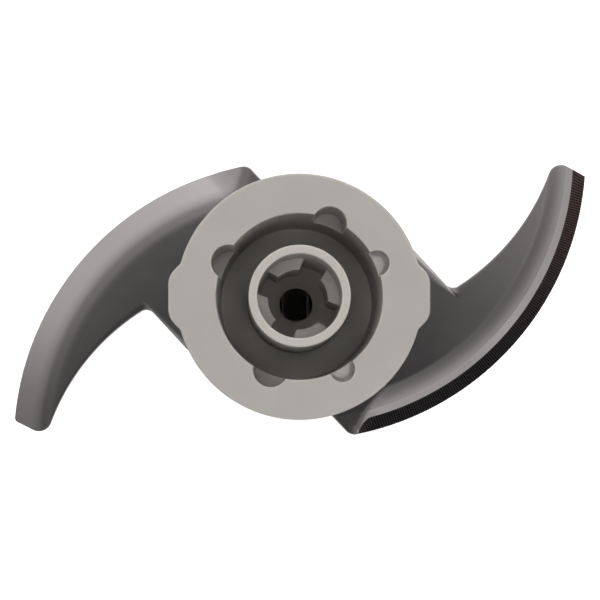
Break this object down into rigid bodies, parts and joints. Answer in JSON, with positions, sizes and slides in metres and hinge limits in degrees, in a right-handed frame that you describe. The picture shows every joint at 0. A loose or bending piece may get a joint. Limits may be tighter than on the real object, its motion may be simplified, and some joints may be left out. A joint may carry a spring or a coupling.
{
  "type": "food processor blade",
  "caption": "S-shaped chopping blade for a food processor: curved steel blades moulded into a plastic hub with a lugged drive sleeve.",
  "frame": {"origin": "on the drive axis, in the plane of the hub's flat top face on which the part stands", "axes": "+Z along the drive axis, out of the open end; +X towards the tip of the blade nearer the open end"},
  "size_m": [0.174, 0.0828, 0.0965],
  "materials": {
    "hub_plastic": "satin moulded, warm grey",
    "sleeve_plastic": "satin moulded, slightly paler warm grey",
    "cap_plastic": "satin moulded, warm grey",
    "blade_steel": "satin stainless steel, ground and serrated edge"
  },
  "bodies": {
    "root": {"hub_body": "hub_plastic", "drive_sleeve": "sleeve_plastic", "top_cap": "cap_plastic", "lower_blade": "blade_steel", "upper_blade": "blade_steel"}
  },
  "joints": []
}
